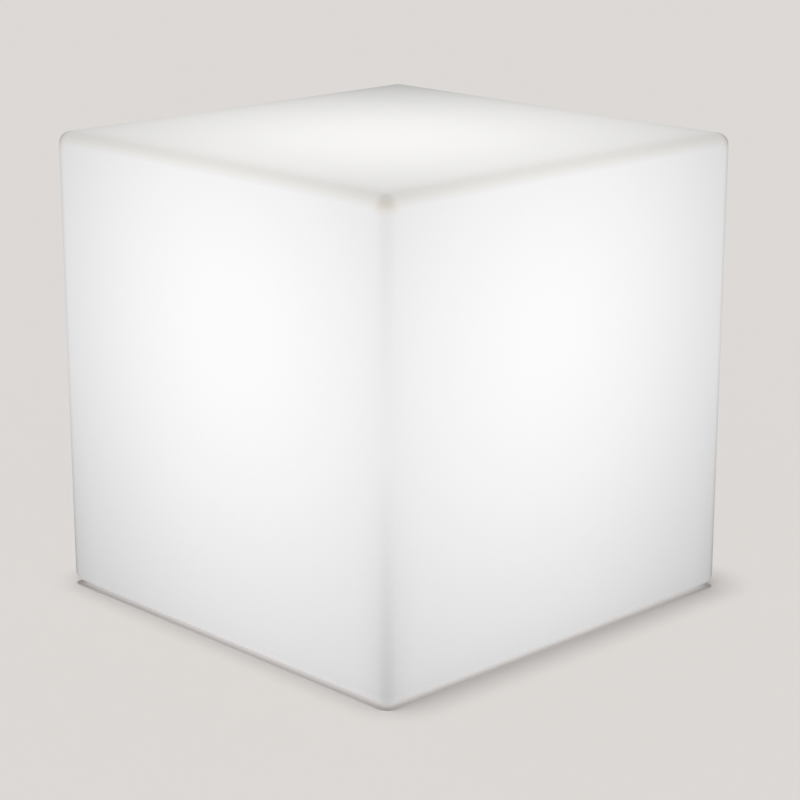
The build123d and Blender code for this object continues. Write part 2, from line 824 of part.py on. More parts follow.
def button_nut():
    return Pos(button_place_x, 0, 0) * hex_nut(barrel_radius, z_flange_top)


# ---------------------------------------------------------------- charging socket and its cap
def charge_socket():
    body = disc(socket_radius, z_bezel_top, z_socket_top)
    collar = disc(collar_radius, z_collar, z_bezel_top)
    body += chamfer(collar.faces().sort_by(Axis.Z)[0].edges(), socket_collar_thickness * 0.3)
    body -= disc(socket_bore_radius, z_collar - 1, z_collar + socket_bore_depth)
    return Pos(socket_place_x, 0, 0) * body


def socket_pin():
    tip = z_collar + socket_pin_setback
    end = z_collar + socket_bore_depth
    pin = disc(socket_pin_radius, tip, end)
    pin = fillet(pin.faces().sort_by(Axis.Z)[0].edges(), socket_pin_radius * 0.6)
    return Pos(socket_place_x, 0, 0) * pin


def socket_tags():
    return solder_tags(socket_place_x, z_socket_top)


def socket_seal():
    seal = ring(socket_seal_radius, socket_radius + thread_gap, z_bezel_top, z_flange)
    return Pos(socket_place_x, 0, 0) * seal


def socket_nut():
    return Pos(socket_place_x, 0, 0) * hex_nut(socket_radius, z_flange_top)


def cap_bracket():
    """Stamped steel plate held behind the socket's collar, with two ears bent down for the cap."""
    arm_end = hinge_x - hinge_ear_overhang
    arm_length = socket_place_x - arm_end
    arm = block(arm_length, ear_span, z_bezel_top, z_flange)
    body = disc(collar_radius, z_bezel_top, z_flange) + Pos(-arm_length / 2, 0, 0) * arm
    body -= disc(socket_seal_radius + bracket_hole_gap, z_bezel_top - 1, z_flange + 1)
    body = Pos(socket_place_x, 0, 0) * body
    body += [hinge_ear(side) for side in (-1, 1)]
    bends = [
        edge
        for edge in body.edges().filter_by(Axis.X).group_by(Axis.Z)[-1]
        if abs(abs(edge.center().Y) - ear_span / 2) < 0.01
    ]
    return fillet(bends, bracket_bend)


def hinge_ear(side):
    """One of the bracket's two ears: straight-sided down to a rounded end about the hinge pin."""
    drop = z_flange - z_hinge
    profile = disc(hinge_ear_overhang, 0, bracket_thickness)
    straight = Box(2 * hinge_ear_overhang, drop, bracket_thickness, align=RISE)
    profile += Pos(0, drop / 2, 0) * straight
    profile -= disc(hinge_pin_radius + thread_gap, -1, bracket_thickness + 1)
    outer_face = ear_span / 2 if side > 0 else bracket_thickness - ear_span / 2
    return Pos(hinge_x, outer_face, z_hinge) * Rot(90, 0, 0) * profile


def socket_cap():
    """Hinged cap: a round lid with a stub for the socket's mouth, an arm and a knuckle."""
    lid_radius = collar_radius + cap_margin
    z_bottom = z_cap_top - cap_thickness
    lid = disc(lid_radius, z_bottom, z_cap_top)
    tab = Pos(lid_radius, 0, 0) * block(2 * cap_tab, 2 * cap_tab, z_bottom, z_cap_top)
    tab = fillet(tab.edges().filter_by(Axis.Z).sort_by(Axis.X)[-2:], cap_tab * 0.9)
    arm = Pos(-hinge_reach / 2, 0, 0) * block(hinge_reach, knuckle_width, z_bottom, z_cap_top)
    body = lid + tab + arm
    body = fillet(body.faces().sort_by(Axis.Z)[0].edges(), cap_thickness * 0.25)
    stub_radius = socket_bore_radius - cap_plug_gap
    stub = disc(stub_radius, z_cap_top, z_collar + cap_plug_length)
    body += chamfer(stub.faces().sort_by(Axis.Z)[-1].edges(), cap_plug_chamfer)
    knuckle = Rot(90, 0, 0) * Cylinder(knuckle_radius, knuckle_width)
    bore = Rot(90, 0, 0) * Cylinder(hinge_pin_radius + hinge_pin_gap, knuckle_width + 2)
    body += Pos(-hinge_reach, 0, z_hinge) * knuckle
    body -= Pos(-hinge_reach, 0, z_hinge) * bore
    return Pos(socket_place_x, 0, 0) * body


def cap_hinge_pin():
    pin = Rot(90, 0, 0) * Cylinder(hinge_pin_radius, ear_span + 2 * pin_overhang)
    pin = chamfer(pin.edges().filter_by(GeomType.CIRCLE), hinge_pin_radius * 0.25)
    return Pos(hinge_x, 0, z_hinge) * pin


def vent_plug():
    """Snap-in plug with a ring of small holes over a breathing membrane."""
    barb_top = z_flange_top + vent_barb * 3
    body = turned(
        [
            (0, z_flange - vent_head_thickness),
            (vent_head_radius, z_flange - vent_head_thickness),
            (vent_head_radius, z_flange),
            (vent_stem_radius, z_flange),
            (vent_stem_radius, z_flange_top),
            (vent_stem_radius + vent_barb, z_flange_top),
            (vent_stem_radius, barb_top),
            (0, barb_top),
        ]
    )
    rim = edges_at(body, vent_head_radius, z_flange - vent_head_thickness)
    body = fillet(rim, vent_head_thickness * 0.4)
    breather = disc(vent_hole_radius, z_flange - vent_head_thickness - 1, z_flange - 0.4)
    return Pos(vent_place_x, 0, 0) * (body - at_each(round_places(vent_hole_circle, 6), breather))


# ---------------------------------------------------------------- leads
def rising_lead(side, start_x, start_z, reach, y):
    """Lead that runs out past the battery's end, up, and back in to the control board's edge."""
    board_z = z_board_top + header_wire_height
    return lead(
        [
            (start_x, y, start_z),
            (side * reach, y, start_z),
            (side * reach, y, board_z),
            (side * board_length / 2, y, board_z),
        ]
    )


def tag_leads(side, tag_x, start_z):
    """Two leads from a pair of soldering tags."""
    start_x = tag_x + side * tag_thickness / 2
    reach = cradle_x + lead_clearance
    places = (-tag_spacing / 2, tag_spacing / 2)
    return group([rising_lead(side, start_x, start_z, reach, y) for y in places])


def switch_leads():
    return tag_leads(-1, button_place_x, z_switch_top + switch_back_height + tag_height / 2)


def socket_leads():
    return tag_leads(1, socket_place_x, z_socket_top + tag_height / 2)


def battery_leads():
    """One lead from each nickel strip, over the cradle's end and up to the board."""
    start_z = z_cells + link_height / 2 - wire_radius
    reach = cradle_x + battery_lead_clearance
    wires = []
    for side in (-1, 1):
        face = cell_length / 2 + link_thickness + (cell_cap_height if side > 0 else 0)
        wires.append(rising_lead(side, side * face, start_z, reach, battery_lead_y))
    return group(wires)


def led_leads():
    """Two leads from the control board, up through the grommet and back to the LED terminal."""
    low = z_board_top + header_wire_height
    high = z_leds + header_wire_height
    wires = [
        lead(
            [
                (x, board_width / 2, low),
                (x, lead_hole_y, low),
                (x, lead_hole_y, high),
                (x, led_terminal_y() + header_length / 2, high),
            ]
        )
        for x in (-led_wire_spacing / 2, led_wire_spacing / 2)
    ]
    return group(wires)


# ---------------------------------------------------------------- all nodes
NODES = [
    cube_shell,
    threaded_inserts,
    rubber_feet,
    base_housing,
    base_gasket,
    cover_screws,
    battery_cells,
    battery_cradle,
    battery_links,
    battery_clamp,
    battery_screws,
    control_board,
    board_chips,
    board_capacitors,
    board_headers,
    board_screws,
    heat_spreader,
    spreader_screws,
    led_board,
    led_board_screws,
    led_chips,
    led_terminal,
    lead_grommet,
    dome_seal,
    diffuser_dome,
    dome_ring,
    power_button,
    button_housing,
    switch_tags,
    button_seal,
    button_nut,
    charge_socket,
    socket_pin,
    socket_tags,
    socket_seal,
    socket_nut,
    cap_bracket,
    socket_cap,
    cap_hinge_pin,
    vent_plug,
    switch_leads,
    socket_leads,
    battery_leads,
    led_leads,
]

os.makedirs("parts", exist_ok=True)
for node in NODES:
    export_step(node(), f"parts/{node.__name__}.step")
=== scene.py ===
"""Looks of the cordless LED cube light: camera, stage, light, and a material for every piece.

Everything is in metres, in the part's own frame: Z is up from the floor, and the Z axis runs up
the middle of the cube. The shell's glow is worked out from places on the cube alone, so it looks
the same from wherever it is seen.
"""
import json
import math

import bpy
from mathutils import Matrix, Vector

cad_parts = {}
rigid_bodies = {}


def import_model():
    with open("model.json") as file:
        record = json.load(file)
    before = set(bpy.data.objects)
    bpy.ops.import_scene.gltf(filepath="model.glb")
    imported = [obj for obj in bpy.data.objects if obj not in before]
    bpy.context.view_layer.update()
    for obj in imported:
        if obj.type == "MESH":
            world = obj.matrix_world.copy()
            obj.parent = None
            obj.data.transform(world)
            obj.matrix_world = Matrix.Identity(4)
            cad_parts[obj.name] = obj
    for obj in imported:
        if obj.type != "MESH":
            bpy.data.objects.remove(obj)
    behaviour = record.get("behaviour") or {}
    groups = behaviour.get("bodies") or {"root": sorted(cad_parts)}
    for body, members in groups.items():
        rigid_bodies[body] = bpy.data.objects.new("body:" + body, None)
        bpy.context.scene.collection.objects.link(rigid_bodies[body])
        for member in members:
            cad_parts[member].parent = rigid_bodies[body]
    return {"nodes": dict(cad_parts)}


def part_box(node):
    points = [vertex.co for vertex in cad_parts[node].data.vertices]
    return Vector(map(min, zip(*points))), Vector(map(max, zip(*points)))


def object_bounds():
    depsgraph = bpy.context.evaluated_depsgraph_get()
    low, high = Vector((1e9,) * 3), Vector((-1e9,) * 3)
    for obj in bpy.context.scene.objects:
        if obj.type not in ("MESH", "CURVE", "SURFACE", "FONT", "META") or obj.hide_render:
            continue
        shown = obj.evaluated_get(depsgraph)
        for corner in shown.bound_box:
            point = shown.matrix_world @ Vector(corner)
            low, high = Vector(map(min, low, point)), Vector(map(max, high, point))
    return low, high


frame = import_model()
cad_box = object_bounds()
nodes = frame["nodes"]

# ---------------------------------------------------------------- camera
CAMERA_PLACE = Vector((1.407, -1.355, 0.728))
CAMERA_YAW = math.radians(45.91)
CAMERA_PITCH = math.radians(16.0)           # downwards
CAMERA_LENS = 106.5                         # mm, on a 36 mm sensor
CAMERA_RANGE = 200.0                        # past the far side of the floor

# ---------------------------------------------------------------- light and stage
BACKDROP = (0.723, 0.694, 0.672)            # pale warm grey of the floor and what lies behind it
SKY_STRENGTH = 0.30                         # even studio light from all sides
KEY_STRENGTH = 1.963                        # broad lamp overhead
KEY_ELEVATION = math.radians(88.6)
KEY_AZIMUTH = math.radians(-100)            # where it stands, from +X towards +Y
KEY_ANGLE = math.radians(10)                # how broad it looks: it sets how soft shadows are
RECESS_LAMP_POWER = 0.03                    # watts
RECESS_LAMP_HEIGHT = 0.001                  # above the floor
FLOOR_LEVEL = 0.925                         # light that reaches the open floor, 1 being white
FLOOR_REACH = 60.0                          # from the middle to each side

# ---------------------------------------------------------------- the glowing shell
# Places on the shell are in halves of its side from the cube's middle, so that its sides and its
# top are at 1 or -1. The upright edge in front is at X = 1 and Y = -1. A strength of 1 would look
# white by itself, and losses and gains are changes of the strength.
HALF = cad_box[1][0]                        # half of the cube's side
GLOW_SOURCE = (0.130, -0.130, 0.352)        # brightest place inside
GLOW_PEAK = 0.836                           # strength there
GLOW_FALL = 0.220                           # light lost for each square of the way from the source
GLOW_REACH = 5.07                           # square of the way at which that loss has halved
GLOW_TOP_LOSS = 0.338                       # the top glows less, as the lamp overhead lights it more
GLOW_EDGE_START = 0.8                       # from here on, a face dims towards its edges
GLOW_EDGE_LOSS = 0.010                      # at every edge
GLOW_TOP_EDGE_LOSS = 0.060                  # and as much more at the edges of the top
GLOW_LOW_LOSS = 0.10                        # beside the lower half of every upright edge
FAR_EDGES_PAINTED_SHADE = 0.047                 # painted shade: the two upright edges beside the front one are duller
TOP_FAR_CORNER_PAINTED_SHADE = 0.115                # painted shade: the top is duller towards its far corner too
ROUNDING = (0.94, 0.985)                    # from where an edge's rounding begins to its middle
ROUNDED_FAR_EDGES_PAINTED_SHADE = 0.17                     # more painted shade, on the rounding of those two upright edges
ROUNDED_END_LOSS = 0.045                    # towards both ends of every upright rounding
ROUNDED_TOP_PAINTED_SHADE = 0.20                     # more painted shade, on the top's rounding towards its far corner
CORNER = (0.92, 0.98)                       # the same stretch for the top's four corners
ROUNDED_CORNER_LOSS = 0.09                  # on those corners
TURNED_UNDER = (0.9, 0.98)                  # where the bottom's rounding becomes the underside
UNDER_LOSS = 0.09                           # the module shades the underside
UNDER_RIM = (0.88, 0.96)                    # but less so the underside's rim
UNDER_RIM_GAIN = 0.28
GLOW_SIDE_TINT = (0.980, 0.994, 1.022)
GLOW_TOP_TINT = (1.01, 1.0, 1.0)
GLOW_TOP_EDGE_TINT = (1.06, 1.0, 0.87)      # the top is warmer towards its edges
GLOW_CORNER_TINT = (1.08, 0.99, 0.82)       # and its corners more so
SHELL_COLOUR = (0.52, 0.52, 0.515)
SHELL_SPECULAR = 0.3
SHELL_ROUGHNESS = (0.58, 0.68)
SHELL_GRAIN = 900                           # per metre
SHELL_GRAIN_DEPTH = 0.00006

# ---------------------------------------------------------------- colours of everything else
STEEL = (0.60, 0.60, 0.61)
BRASS = (0.72, 0.55, 0.27)
NICKEL = (0.64, 0.62, 0.57)
ALUMINIUM = (0.74, 0.75, 0.76)
SOLDER = (0.70, 0.70, 0.70)
SCORCHED = (0.25, 0.22, 0.19)               # where a weld has heated the nickel
WHITE = (0.78, 0.78, 0.76)
BLACK = (0.035, 0.035, 0.038)
RUBBER = (0.045, 0.045, 0.047)
SILICONE = (0.26, 0.27, 0.28)
NYLON = (0.76, 0.72, 0.62)
OPAL = (0.62, 0.62, 0.61)
CHIP = (0.025, 0.025, 0.028)
RED = (0.45, 0.03, 0.02)
FILM = (0.03, 0.16, 0.42)                   # shrink film round the cells
BOARD = (0.012, 0.13, 0.045)
TRACK = (0.035, 0.20, 0.065)
LAMINATE = (0.42, 0.36, 0.18)
LED_BOARD = (0.80, 0.80, 0.79)
LED_FRAME = (0.82, 0.82, 0.80)
PHOSPHOR = (0.85, 0.72, 0.20)
LED_LIGHT = (1.0, 0.95, 0.80)
MEMBRANE = (0.75, 0.75, 0.72)
WHITE_LIGHT = (1.0, 1.0, 1.0)

# ---------------------------------------------------------------- patterns
# Lengths and depths are in metres, scales are per metre, and turns are radians per metre.
NOISE_RANGE = (0.3, 0.7)                    # nearly all of a noise's values lie between these
GRAIN_DETAIL = 2.0
PATCH_SCALE = 160
GLOSS_SPREAD = 0.06                         # roughness above and below its middle value
BRUSH_SCALE = 6000
BRUSH_STRETCH = 0.06                        # share of the scale that is left along the lines
BRUSH_ROUGHNESS = (0.2, 0.4)
BRUSH_DEPTH = 0.00001
GROOVE_TURN = 2 * math.pi / 0.0011          # knurling 1.1 mm apart
GROOVE_DEPTH = 0.0001
RING_TURN = 2 * math.pi / 0.0008            # turned rings 0.8 mm apart
RING_DEPTH = 0.00002
THREAD_TURN = 2 * math.pi / 0.001           # thread with a pitch of 1 mm
THREAD_DEPTH = 0.0002
CELL_COUNT = 4
CELL_FILM_SHORT = 0.0008                    # bare end of a cell inside the film's fold
WELD_OFFSET = 0.0016                        # weld marks from the middle of a cell's end
WELD_MARK = (0.0005, 0.0007)                # radii: fully scorched inside, clean outside
TRACK_STEP = 0.0016
TRACK_LENGTH = 0.008
TRACK_WIDTH = 0.0002
SOLDER_HEIGHT = 0.0003
CAPACITOR_RADIUS = 0.004
CAPACITOR_MARK = 0.0022                     # width of the dark mark on a can's top and side
LED_WELL_DEPTH = 0.0003
LED_GLOW = 0.5
DOME_GLOW = 0.34                            # in the dome's middle, and half of it at its rim
SEAM = 0.00005                              # colour changes this far behind the bezel's back
VENT_MEMBRANE = (0.0008, 0.0016)            # the membrane lies this deep in the plug's holes
FACING_SHARE = 0.5                          # a surface faces a way if its normal has more of it


# ---------------------------------------------------------------- node helpers
def give(tree, socket, value):
    """A value that is a socket is linked, anything else is set."""
    if isinstance(value, bpy.types.NodeSocket):
        tree.links.new(value, socket)
    else:
        socket.default_value = value


def add(tree, kind, inputs=None, **settings):
    """A shader node with its inputs and settings."""
    item = tree.nodes.new("ShaderNode" + kind)
    for name, value in settings.items():
        setattr(item, name, value)
    for name, value in (inputs or {}).items():
        give(tree, item.inputs[name], value)
    return item


def feed(tree, name, value):
    """An input of the material's Principled shader."""
    give(tree, tree.nodes["Principled BSDF"].inputs[name], value)


def maths(tree, operation, first, second=0.0, third=0.0):
    item = add(tree, "Math", {0: first, 1: second, 2: third}, operation=operation)
    return item.outputs[0]


def product(tree, first, *others):
    for other in others:
        first = maths(tree, "MULTIPLY", first, other)
    return first


def squared(tree, value):
    return product(tree, value, value)


def opposite(tree, value):
    return product(tree, value, -1.0)


def inverse(tree, value):
    return maths(tree, "SUBTRACT", 1.0, value)


def positive(tree, value):
    return maths(tree, "MAXIMUM", value, 0.0)


def above(tree, value, limit):
    return maths(tree, "GREATER_THAN", value, limit)


def hypotenuse(tree, first, second):
    return maths(tree, "SQRT", maths(tree, "ADD", squared(tree, first), squared(tree, second)))


def ramp(tree, value, low, high):
    """0 below low, 1 above high, smooth between."""
    item = add(tree, "MapRange", {"Value": value, "From Min": low, "From Max": high},
               interpolation_type="SMOOTHSTEP")
    return item.outputs["Result"]


def noise(tree, place, scale, detail=3.0):
    return add(tree, "TexNoise", {"Vector": place, "Scale": scale, "Detail": detail}).outputs["Fac"]


def spread(tree, value, low=0.0, high=1.0):
    """Noise spread over a range, from low to high."""
    least, most = NOISE_RANGE
    item = add(tree, "MapRange", {"Value": value, "From Min": least, "From Max": most,
                                  "To Min": low, "To Max": high})
    return item.outputs["Result"]


def rgba(colour):
    return (*colour, 1.0)


def mixed(tree, share, first, second):
    """Colour between two colours or colour sockets."""
    first = first if isinstance(first, bpy.types.NodeSocket) else rgba(first)
    second = second if isinstance(second, bpy.types.NodeSocket) else rgba(second)
    item = add(tree, "Mix", {"Factor": share, "A": first, "B": second}, data_type="RGBA")
    return item.outputs["Result"]


def parts_of(tree, vector):
    return add(tree, "SeparateXYZ", {0: vector}).outputs


def facing(tree):
    """Which way the surface faces on the object."""
    return parts_of(tree, add(tree, "TexCoord").outputs["Normal"])


def on_edge(tree):
    """1 on the edge of a flat board, and 0 on its two faces."""
    sideways = inverse(tree, maths(tree, "ABSOLUTE", facing(tree)["Z"]))
    return above(tree, sideways, FACING_SHARE)


def relief(tree, height, depth):
    feed(tree, "Normal", add(tree, "Bump", {"Height": height, "Distance": depth}).outputs["Normal"])


def new_material(name):
    """A material with a Principled shader, its tree, and the place on the object as a vector."""
    material = bpy.data.materials.new(name)
    material.use_nodes = True
    tree = material.node_tree
    return material, tree, add(tree, "TexCoord").outputs["Object"]


def reach(name):
    """Lowest and highest corner of a piece, in metres."""
    low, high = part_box(name)
    return Vector(low), Vector(high)


# ---------------------------------------------------------------- shell
def from_source(tree, unit):
    """Light that arrives from the source, and loses less and less on its way."""
    way = add(tree, "VectorMath", {0: unit, 1: GLOW_SOURCE}, operation="DISTANCE").outputs["Value"]
    square = squared(tree, way)
    easing = maths(tree, "ADD", 1.0, maths(tree, "DIVIDE", square, GLOW_REACH))
    lost = product(tree, GLOW_FALL, maths(tree, "DIVIDE", square, easing))
    return maths(tree, "SUBTRACT", GLOW_PEAK, lost)


def dimming(tree, value):
    """0 until a face begins to dim, then rising to 1 at its edge."""
    item = add(tree, "MapRange", {"Value": value, "From Min": GLOW_EDGE_START})
    return squared(tree, item.outputs["Result"])


def glow(tree, place):
    """Strength and colour of the light that comes through the shell at a place on it, with painted
    shade on its far edges and top corner.
    """
    centred = add(tree, "VectorMath", {0: place, 1: (0, 0, -HALF)}, operation="ADD").outputs[0]
    unit = add(tree, "VectorMath", {0: centred, "Scale": 1 / HALF}, operation="SCALE").outputs[0]
    x, y, z = parts_of(tree, unit)

    # How far out the place is: along each axis, and along the lesser and the greater of X and Y.
    wide, deep, tall = [maths(tree, "ABSOLUTE", value) for value in (x, y, z)]
    narrow = maths(tree, "MINIMUM", wide, deep)
    broad = maths(tree, "MAXIMUM", wide, deep)
    low = positive(tree, opposite(tree, z))

    # Which way the surface faces.
    facing_z = facing(tree)["Z"]
    on_top = positive(tree, facing_z)
    on_side = inverse(tree, on_top)
    under = ramp(tree, opposite(tree, facing_z), *TURNED_UNDER)

    # Shares from 0 to 1: 1 at the edges, roundings and corners that they are named after.
    near_edge = dimming(tree, maths(tree, "MAXIMUM", narrow, maths(tree, "MINIMUM", broad, tall)))
    near_top_edge = product(tree, near_edge, on_top)
    near_upright = dimming(tree, narrow)
    # 1 at the two upright edges beside the front one, which take painted shade.
    far_edges_shade_mask = positive(tree, product(tree, x, y))
    # 1 at the top's far corner, which takes painted shade.
    far_corner_shade_mask = squared(tree, positive(tree, product(tree, maths(tree, "SUBTRACT", y, x), 0.5)))
    upright_rounding = ramp(tree, narrow, *ROUNDING)
    top_rounding = ramp(tree, maths(tree, "MINIMUM", z, broad), *ROUNDING)
    top_corner = ramp(tree, maths(tree, "MINIMUM", z, narrow), *CORNER)

    losses = [
        (GLOW_TOP_LOSS, on_top),
        (GLOW_EDGE_LOSS, near_edge),
        (GLOW_TOP_EDGE_LOSS, near_top_edge),
        (FAR_EDGES_PAINTED_SHADE, product(tree, squared(tree, far_edges_shade_mask), on_side)),
        (TOP_FAR_CORNER_PAINTED_SHADE, product(tree, far_corner_shade_mask, on_top)),
        (ROUNDED_FAR_EDGES_PAINTED_SHADE, product(tree, upright_rounding, ramp(tree, far_edges_shade_mask, 0.0, 1.0))),
        (ROUNDED_END_LOSS, product(tree, upright_rounding, tall)),
        (GLOW_LOW_LOSS, product(tree, near_upright, low)),
        (ROUNDED_TOP_PAINTED_SHADE, product(tree, top_rounding, far_corner_shade_mask)),
        (ROUNDED_CORNER_LOSS, top_corner),
        (UNDER_LOSS, under),
        (-UNDER_RIM_GAIN, product(tree, under, ramp(tree, broad, *UNDER_RIM))),
    ]
    strength = from_source(tree, unit)
    for loss, share in losses:
        strength = maths(tree, "SUBTRACT", strength, product(tree, loss, share))

    tint = mixed(tree, on_top, GLOW_SIDE_TINT, GLOW_TOP_TINT)
    tint = mixed(tree, near_top_edge, tint, GLOW_TOP_EDGE_TINT)
    tint = mixed(tree, top_corner, tint, GLOW_CORNER_TINT)
    return positive(tree, strength), tint


def glowing_shell():
    """Satin polyethylene as it leaves a rotomould, lit from inside."""
    material, tree, place = new_material("glowing_polyethylene")
    strength, tint = glow(tree, place)
    grain = noise(tree, place, SHELL_GRAIN, GRAIN_DETAIL)
    feed(tree, "Emission Strength", strength)
    feed(tree, "Emission Color", tint)
    feed(tree, "Base Color", rgba(SHELL_COLOUR))
    feed(tree, "Roughness", spread(tree, grain, *SHELL_ROUGHNESS))
    feed(tree, "Specular IOR Level", SHELL_SPECULAR)
    relief(tree, grain, SHELL_GRAIN_DEPTH)
    return material


# ---------------------------------------------------------------- plain finishes
def surface(name, colour, roughness, grain, depth, uneven=0.08, **extras):
    """Slightly uneven in colour and gloss, with a grain in relief. Extras go to shader inputs."""
    material, tree, place = new_material(name)
    tone = spread(tree, noise(tree, place, PATCH_SCALE))
    dark = [channel * (1 - uneven) for channel in colour]
    light = [min(1.0, channel * (1 + uneven)) for channel in colour]
    texture = noise(tree, place, grain, GRAIN_DETAIL)
    gloss = spread(tree, texture, roughness - GLOSS_SPREAD, roughness + GLOSS_SPREAD)
    feed(tree, "Base Color", mixed(tree, tone, dark, light))
    feed(tree, "Roughness", gloss)
    relief(tree, texture, depth)
    for key, value in extras.items():
        feed(tree, key, value)
    return material


def moulded(name, colour, roughness=0.5, grain=2600, depth=0.00003):
    """Injection moulding with the fine grain of a spark-eroded mould."""
    return surface(name, colour, roughness, grain, depth, uneven=0.025)


def rubber(name, colour):
    return surface(name, colour, roughness=0.78, grain=1800, depth=0.00004, uneven=0.07)


def metal(name, colour, roughness, grain=4000, depth=0.00001):
    return surface(name, colour, roughness, grain, depth, uneven=0.06, Metallic=1.0)


def repaint(material, share, colour):
    """Another colour where share is 1, over the colour that the material has."""
    tree = material.node_tree
    painted = tree.nodes["Principled BSDF"].inputs["Base Color"].links[0].from_socket
    feed(tree, "Base Color", mixed(tree, share, painted, colour))


def where(material):
    """The material's tree, and the place's three parts in metres."""
    tree = material.node_tree
    return tree, parts_of(tree, add(tree, "TexCoord").outputs["Object"])


# ---------------------------------------------------------------- metals with a pattern
def brushed_steel(name):
    """Fine lines that run along Y, and along Z too where a face stands upright."""
    material = metal(name, STEEL, roughness=0.3)
    tree, place = where(material)
    along = {axis: product(tree, place[axis], BRUSH_STRETCH) for axis in ("Y", "Z")}
    squeezed = add(tree, "CombineXYZ", {"X": place["X"], **along}).outputs[0]
    lines = noise(tree, squeezed, BRUSH_SCALE, GRAIN_DETAIL)
    feed(tree, "Roughness", spread(tree, lines, *BRUSH_ROUGHNESS))
    relief(tree, lines, BRUSH_DEPTH)
    return material


def knurled_brass():
    """Crossed slanting grooves, as on the outside of a moulded-in insert."""
    material = metal("knurled_brass", BRASS, roughness=0.3)
    tree, place = where(material)
    around = maths(tree, "ADD", place["X"], place["Y"])
    slants = [maths(tree, kind, around, place["Z"]) for kind in ("ADD", "SUBTRACT")]
    waves = [maths(tree, "SINE", product(tree, slant, GROOVE_TURN)) for slant in slants]
    relief(tree, maths(tree, "MAXIMUM", *waves), GROOVE_DEPTH)
    return material


def welded_nickel():
    """Nickel strip with four small weld marks over each cell."""
    material = metal("welded_nickel", NICKEL, roughness=0.34)
    tree, place = where(material)
    low, high = reach("battery_cells")
    radius = (high.z - low.z) / 2
    pitch = (high.y - low.y - 2 * radius) / (CELL_COUNT - 1)
    from_cell = maths(tree, "WRAP", place["Y"], pitch, 0.0)
    sideways = maths(tree, "ABSOLUTE", maths(tree, "SUBTRACT", from_cell, pitch / 2))
    upwards = maths(tree, "ABSOLUTE", maths(tree, "SUBTRACT", place["Z"], (low.z + high.z) / 2))
    offsets = [maths(tree, "SUBTRACT", value, WELD_OFFSET) for value in (sideways, upwards)]
    clean = ramp(tree, hypotenuse(tree, *offsets), *WELD_MARK)
    repaint(material, inverse(tree, clean), SCORCHED)
    return material


def turned_aluminium():
    """Rings left by the facing cut, round the object's upright axis."""
    material = metal("turned_aluminium", ALUMINIUM, roughness=0.32)
    tree, place = where(material)
    radius = hypotenuse(tree, place["X"], place["Y"])
    relief(tree, maths(tree, "SINE", product(tree, radius, RING_TURN)), RING_DEPTH)
    return material


# ---------------------------------------------------------------- battery and boards
def wrapped_cells():
    """Blue shrink film over steel cans, folded over their ends with bare metal inside the fold."""
    low, _ = reach("battery_cells")
    material = surface("wrapped_cells", FILM, roughness=0.32, grain=900, depth=0.00002)
    tree, place = where(material)
    end = above(tree, maths(tree, "ABSOLUTE", place["X"]), -low.x - CELL_FILM_SHORT)
    repaint(material, end, STEEL)
    feed(tree, "Metallic", end)
    return material


def laminate_board():
    """Green mask with copper tracks showing under it, and bare laminate at the board's edge."""
    material = surface("laminate_board", BOARD, roughness=0.36, grain=1500, depth=0.00002)
    tree, place = where(material)
    flat = add(tree, "CombineXYZ", {"X": place["X"], "Y": place["Y"]}).outputs[0]
    tracks = add(tree, "TexBrick", {"Vector": flat, "Scale": 1.0, "Mortar Size": TRACK_WIDTH,
                                    "Mortar Smooth": 0.2, "Brick Width": TRACK_LENGTH,
                                    "Row Height": TRACK_STEP}, offset=0.3, offset_frequency=3,
                 squash=0.3, squash_frequency=2)
    repaint(material, tracks.outputs["Fac"], TRACK)
    repaint(material, on_edge(tree), LAMINATE)
    return material


def soldered_chips():
    """Black epoxy bodies on a bright band of leads and solder."""
    low, _ = reach("board_chips")
    material = moulded("soldered_chips", CHIP, roughness=0.45)
    tree, place = where(material)
    foot = inverse(tree, above(tree, place["Z"], low.z + SOLDER_HEIGHT))
    repaint(material, foot, SOLDER)
    feed(tree, "Metallic", foot)
    return material


def capacitor_cans():
    """Drawn aluminium cans with a dark mark over the negative side of each."""
    low, high = reach("board_capacitors")
    step = (high.x - low.x) / 2 - CAPACITOR_RADIUS
    material = metal("capacitor_cans", ALUMINIUM, roughness=0.35)
    tree, place = where(material)
    from_can = maths(tree, "WRAP", place["X"], step / 2, -step / 2)
    mark = inverse(tree, above(tree, from_can, CAPACITOR_MARK - CAPACITOR_RADIUS))
    repaint(material, mark, BLACK)
    return material


def white_led_board():
    """White mask on an aluminium core, whose edge shows."""
    material = surface("white_led_board", LED_BOARD, roughness=0.35, grain=1500, depth=0.00002,
                       uneven=0.03)
    tree = material.node_tree
    core = on_edge(tree)
    repaint(material, core, ALUMINIUM)
    feed(tree, "Metallic", core)
    return material


def lit_leds():
    """White frame round a well of yellow phosphor, which gives the light."""
    _, high = reach("led_chips")
    material = moulded("lit_leds", LED_FRAME, roughness=0.4)
    tree, place = where(material)
    upwards = above(tree, facing(tree)["Z"], FACING_SHARE)
    sunk = inverse(tree, above(tree, place["Z"], high.z - LED_WELL_DEPTH / 2))
    well = product(tree, upwards, sunk)
    repaint(material, well, PHOSPHOR)
    feed(tree, "Emission Color", rgba(LED_LIGHT))
    feed(tree, "Emission Strength", product(tree, well, LED_GLOW))
    return material


def lit_dome():
    """Opal dome, brightest in its middle, over the LEDs."""
    _, high = reach("diffuser_dome")
    material = surface("lit_dome", OPAL, roughness=0.3, grain=1200, depth=0.00002, uneven=0.02)
    tree, place = where(material)
    radius = hypotenuse(tree, place["X"], place["Y"])
    middle = inverse(tree, ramp(tree, radius, 0.0, high.x))
    strength = maths(tree, "ADD", DOME_GLOW / 2, product(tree, middle, DOME_GLOW / 2))
    feed(tree, "Emission Color", rgba(WHITE_LIGHT))
    feed(tree, "Emission Strength", strength)
    return material


